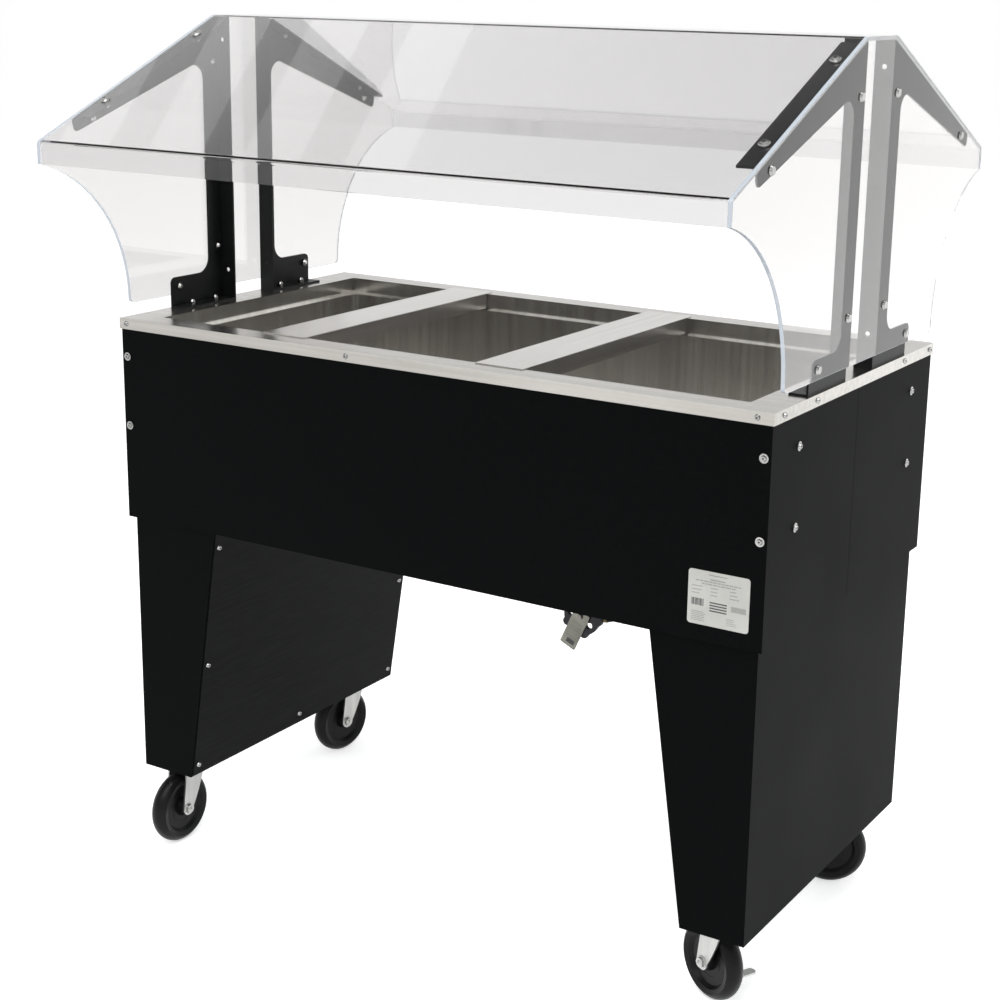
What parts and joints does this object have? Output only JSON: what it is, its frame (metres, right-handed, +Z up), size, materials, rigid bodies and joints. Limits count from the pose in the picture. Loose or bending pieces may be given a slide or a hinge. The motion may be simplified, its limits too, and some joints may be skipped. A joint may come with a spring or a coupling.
{
  "type": "steam table",
  "caption": "Mobile hot food table on casters: stainless top over a heated tub, removable pan bars and a clear double-sided food guard",
  "frame": {"origin": "on the floor under the middle of the table", "axes": "+X along the table's length, -Y towards the front in the picture, +Z up"},
  "size_m": [1.207, 0.948, 1.44],
  "materials": {
    "stainless": "brushed",
    "tub_stainless": "bright annealed",
    "black_sheet": "fine texture",
    "black_panel": "fine texture",
    "black_bracket": "satin",
    "insulation": "matt",
    "heater_sheath": "dull",
    "galvanised": "spangled",
    "zinc": "bright zinc",
    "wheel_rubber": "satin",
    "clear_acrylic": "polished",
    "steel_screw": "polished",
    "brass": "dull",
    "handwheel_black": "gloss",
    "tag_card": "translucent",
    "black_plastic": "matt",
    "label_print": "printed"
  },
  "bodies": {
    "table": {"top_deck": "stainless", "tub_liner": "tub_stainless", "tub_insulation": "insulation", "tub_heaters": "heater_sheath", "heat_shield": "galvanised", "body_frame": "galvanised", "bottom_pan": "galvanised", "apron_front": "black_sheet", "apron_rear": "black_sheet", "canopy_roof": "clear_acrylic", "drain_outlet": "tub_stainless", "drain_locknut": "brass", "drain_pipe": "galvanised", "valve_body": "brass", "thermostat": "black_plastic", "power_inlet": "black_plastic", "rating_label": "label_print", "pan_screws": "steel_screw", "washer_screws": "steel_screw", "guard_bolts": "steel_screw", "roof_screws": "steel_screw", "caster_bolts": "zinc", "pedestal_left": "black_sheet", "access_panel_left": "black_panel", "caster_rail_left": "galvanised", "end_panel_left": "clear_acrylic", "bracket_front_left": "black_bracket", "bracket_rear_left": "black_bracket", "pedestal_right": "black_sheet", "access_panel_right": "black_panel", "caster_rail_right": "galvanised", "end_panel_right": "clear_acrylic", "bracket_front_right": "black_bracket", "bracket_rear_right": "black_bracket", "caster_plate_front_left": "zinc", "caster_plate_front_right": "zinc", "caster_plate_rear_left": "zinc", "caster_plate_rear_right": "zinc"},
    "swivel_front_left": {"caster_fork_front_left": "zinc", "caster_axle_front_left": "zinc"},
    "wheel_front_left": {"caster_wheel_front_left": "wheel_rubber"},
    "swivel_front_right": {"caster_fork_front_right": "zinc", "caster_axle_front_right": "zinc"},
    "wheel_front_right": {"caster_wheel_front_right": "wheel_rubber"},
    "brake_front_right": {"brake_pedal_front_right": "zinc"},
    "swivel_rear_left": {"caster_fork_rear_left": "zinc", "caster_axle_rear_left": "zinc"},
    "wheel_rear_left": {"caster_wheel_rear_left": "wheel_rubber"},
    "swivel_rear_right": {"caster_fork_rear_right": "zinc", "caster_axle_rear_right": "zinc"},
    "wheel_rear_right": {"caster_wheel_rear_right": "wheel_rubber"},
    "handwheel": {"valve_handwheel": "handwheel_black", "valve_stem": "brass"},
    "gate": {"valve_gate": "brass"},
    "tag": {"valve_tag": "tag_card"},
    "knob": {"thermostat_knob": "black_plastic"},
    "strainer": {"drain_strainer": "stainless"},
    "bar_left": {"adaptor_bar_left": "stainless"},
    "bar_right": {"adaptor_bar_right": "stainless"}
  },
  "joints": [
    {"name": "swivel_front_left", "type": "hinge", "parent": "table", "child": "swivel_front_left", "pos_m": [-0.534, -0.24, 0.145], "axis": [0, 0, 1], "continuous": true},
    {"name": "roll_front_left", "type": "hinge", "parent": "swivel_front_left", "child": "wheel_front_left", "pos_m": [-0.534, -0.272, 0.0635], "axis": [-1, 0, 0], "continuous": true},
    {"name": "swivel_front_right", "type": "hinge", "parent": "table", "child": "swivel_front_right", "pos_m": [0.534, -0.24, 0.145], "axis": [0, 0, 1], "continuous": true},
    {"name": "roll_front_right", "type": "hinge", "parent": "swivel_front_right", "child": "wheel_front_right", "pos_m": [0.50524, -0.22597, 0.0635], "axis": [0.4384, 0.8988, 0], "continuous": true},
    {"name": "brake_front_right", "type": "hinge", "parent": "swivel_front_right", "child": "brake_front_right", "pos_m": [0.51243, -0.22948, 0.086], "axis": [0.4384, 0.8988, 0], "range_deg": [0, 12]},
    {"name": "swivel_rear_left", "type": "hinge", "parent": "table", "child": "swivel_rear_left", "pos_m": [-0.534, 0.24, 0.145], "axis": [0, 0, 1], "continuous": true},
    {"name": "roll_rear_left", "type": "hinge", "parent": "swivel_rear_left", "child": "wheel_rear_left", "pos_m": [-0.54011, 0.20859, 0.0635], "axis": [-0.9816, 0.1908, 0], "continuous": true},
    {"name": "swivel_rear_right", "type": "hinge", "parent": "table", "child": "swivel_rear_right", "pos_m": [0.534, 0.24, 0.145], "axis": [0, 0, 1], "continuous": true},
    {"name": "roll_rear_right", "type": "hinge", "parent": "swivel_rear_right", "child": "wheel_rear_right", "pos_m": [0.50393, 0.22906, 0.0635], "axis": [-0.342, 0.9397, 0], "continuous": true},
    {"name": "handwheel_turn", "type": "hinge", "parent": "table", "child": "handwheel", "pos_m": [0.177, -0.084, 0.509], "axis": [0, -1, 0], "range_deg": [0, 1800]},
    {"name": "gate_slide", "type": "slide", "parent": "table", "child": "gate", "axis": [0, -1, 0], "range_m": [0, 0.0272]},
    {"name": "tag_swing", "type": "hinge", "parent": "table", "child": "tag", "pos_m": [0.177, -0.085, 0.509], "axis": [0, 1, 0], "range_deg": [-24, 24]},
    {"name": "knob_turn", "type": "hinge", "parent": "table", "child": "knob", "pos_m": [-0.21, 0.32, 0.658], "axis": [0, 1, 0], "range_deg": [0, 270]},
    {"name": "strainer_lift", "type": "slide", "parent": "table", "child": "strainer", "axis": [0, 0, 1], "range_m": [0, 0.15]},
    {"name": "bar_lift_left", "type": "slide", "parent": "table", "child": "bar_left", "axis": [0, 0, 1], "range_m": [0, 0.2]},
    {"name": "bar_lift_right", "type": "slide", "parent": "table", "child": "bar_right", "axis": [0, 0, 1], "range_m": [0, 0.2]}
  ],
  "couplings": [
    {"joint": "gate_slide", "follows": "handwheel_turn", "m_per_rad": 0.00085944}
  ]
}
